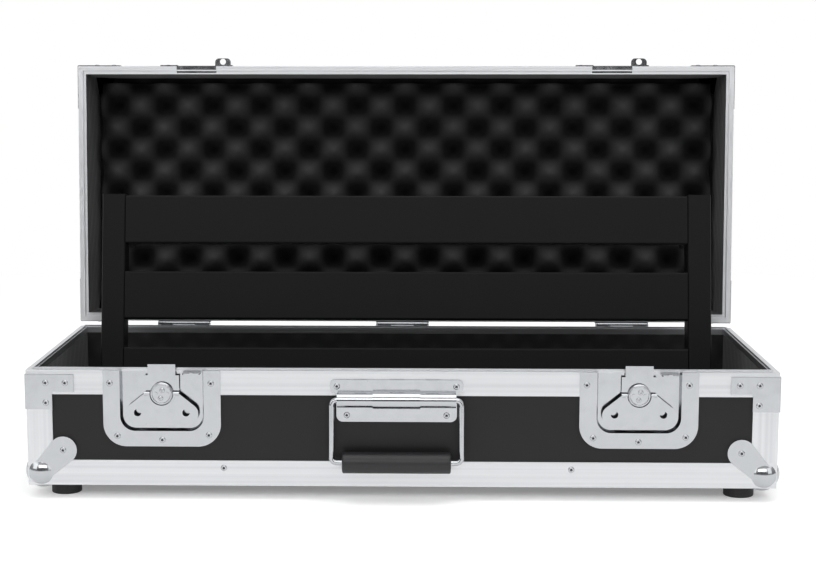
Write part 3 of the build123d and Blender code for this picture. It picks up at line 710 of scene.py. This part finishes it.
# %% Floor and backdrop
stage_material, tree, shader = new_material("studio_paper", "#f4f4f4", 0.9)
paper_lift = 0.22
clear_ring = (0.75, 1.7)
rays = add_node(tree, "ShaderNodeLightPath")
seen = rays.outputs["Is Camera Ray"]
for kind in ("Is Glossy Ray", "Is Transmission Ray"):
    both = add_node(tree, "ShaderNodeMath", {0: seen, 1: rays.outputs[kind]}, operation="MAXIMUM")
    seen = both.outputs["Value"]
lift = add_node(
    tree, "ShaderNodeMath", {0: seen}, operation="MULTIPLY", inputs={1: paper_lift}
)
near_glow = add_node(tree, "ShaderNodeEmission", {"Strength": lift.outputs["Value"]})
near = add_node(tree, "ShaderNodeAddShader", {0: shader.outputs[0], 1: near_glow.outputs[0]})
spot = add_node(tree, "ShaderNodeNewGeometry").outputs["Position"]
away = add_node(tree, "ShaderNodeVectorMath", {0: spot}, operation="LENGTH")
far = ramp(tree, away.outputs["Value"], *clear_ring, 0.0, 1.0)
plain = add_node(tree, "ShaderNodeMath", {0: far, 1: seen}, operation="MULTIPLY")
white = add_node(tree, "ShaderNodeEmission", inputs={"Strength": 1.0})
blend = add_node(
    tree,
    "ShaderNodeMixShader",
    {0: plain.outputs["Value"], 1: near.outputs[0], 2: white.outputs[0]},
)
tree.links.new(blend.outputs[0], tree.nodes["Material Output"].inputs["Surface"])

floor_reach = 60.0
wall_height = 6.0
wall_distance = 3.0
bend_radius = 1.0
bend_steps = 12
profile = [(-floor_reach, 0.0), (wall_distance, 0.0)]
for step in range(1, bend_steps + 1):
    angle = math.pi / 2 * step / bend_steps
    rise = bend_radius * (1 - math.cos(angle))
    profile.append((wall_distance + bend_radius * math.sin(angle), rise))
profile.append((wall_distance + bend_radius, wall_height))
built = bmesh.new()
left, right = [[built.verts.new((x, *p)) for p in profile] for x in (-floor_reach, floor_reach)]
for i in range(len(profile) - 1):
    built.faces.new((left[i], right[i], right[i + 1], left[i + 1]))
data = bpy.data.meshes.new("studio_sweep")
built.to_mesh(data)
built.free()
sweep = bpy.data.objects.new("studio_sweep", data)
data.materials.append(stage_material)
bpy.context.scene.collection.objects.link(sweep)

# %% [markdown]
# The room is white light, bright above and behind and dim towards the front, which the
# metal mirrors. Large area lamps shape the panels.

# %% World and lamps
scene = bpy.context.scene
world = bpy.data.worlds.new("studio")
scene.world = world
world.use_nodes = True
tree = world.node_tree
background = tree.nodes["Background"]
background.inputs["Color"].default_value = colour("#ffffff")
bright_way = (0.0, 0.5, 0.86)
dim_facing, bright_facing = -0.35, 0.75
dim_strength, bright_strength = 0.12, 0.95
direction = add_node(tree, "ShaderNodeTexCoord").outputs["Generated"]
facing = add_node(
    tree, "ShaderNodeVectorMath", {0: direction}, operation="DOT_PRODUCT", inputs={1: bright_way}
).outputs["Value"]
room = ramp(tree, facing, dim_facing, bright_facing, dim_strength, bright_strength)
tree.links.new(room, background.inputs["Strength"])


def softbox(name, place, target, size, watts):
    """A rectangular lamp that points at a place."""
    lamp = bpy.data.lights.new(name, "AREA")
    lamp.shape = "RECTANGLE"
    lamp.size, lamp.size_y = size
    lamp.energy = watts
    made = bpy.data.objects.new(name, lamp)
    made.location = place
    aim = Vector(target) - Vector(place)
    made.rotation_euler = aim.to_track_quat("-Z", "Y").to_euler()
    scene.collection.objects.link(made)


middle = (0, 0, 0.2)
softbox("overhead", (0.2, -0.4, 2.2), middle, (2.4, 1.6), 22)
softbox("left_front", (-2.0, -1.6, 1.2), middle, (1.2, 1.6), 10)
softbox("right_front", (2.0, -1.8, 1.0), middle, (1.2, 1.6), 8)
softbox("front_high", (0.0, -2.6, 1.5), (0, 0, 0.3), (3.0, 0.9), 26)

# %% [markdown]
# The camera stands where the photographer's did, worked out from the case's corners.

# %% Camera
image_width = 816
image_height = 575
focal_pixels = 1784
centre_pixel = (381.5, 322.0)
sensor = 36.0
pitch = math.radians(8.58)
yaw = math.radians(1.34)
camera_from_corner = Vector((20.0, -1628.5, 401.5)) * mm
lens = bpy.data.cameras.new("camera")
lens.sensor_width = sensor
lens.lens = focal_pixels * sensor / image_width
lens.shift_x = (image_width / 2 - centre_pixel[0]) / image_width
lens.shift_y = (centre_pixel[1] - image_height / 2) / image_width
camera = bpy.data.objects.new("camera", lens)
camera.location = camera_from_corner + Vector((0, front_y, underside))
camera.rotation_euler = (math.pi / 2 - pitch, 0, yaw)
scene.collection.objects.link(camera)
scene.camera = camera
scene.view_settings.view_transform = "Standard"
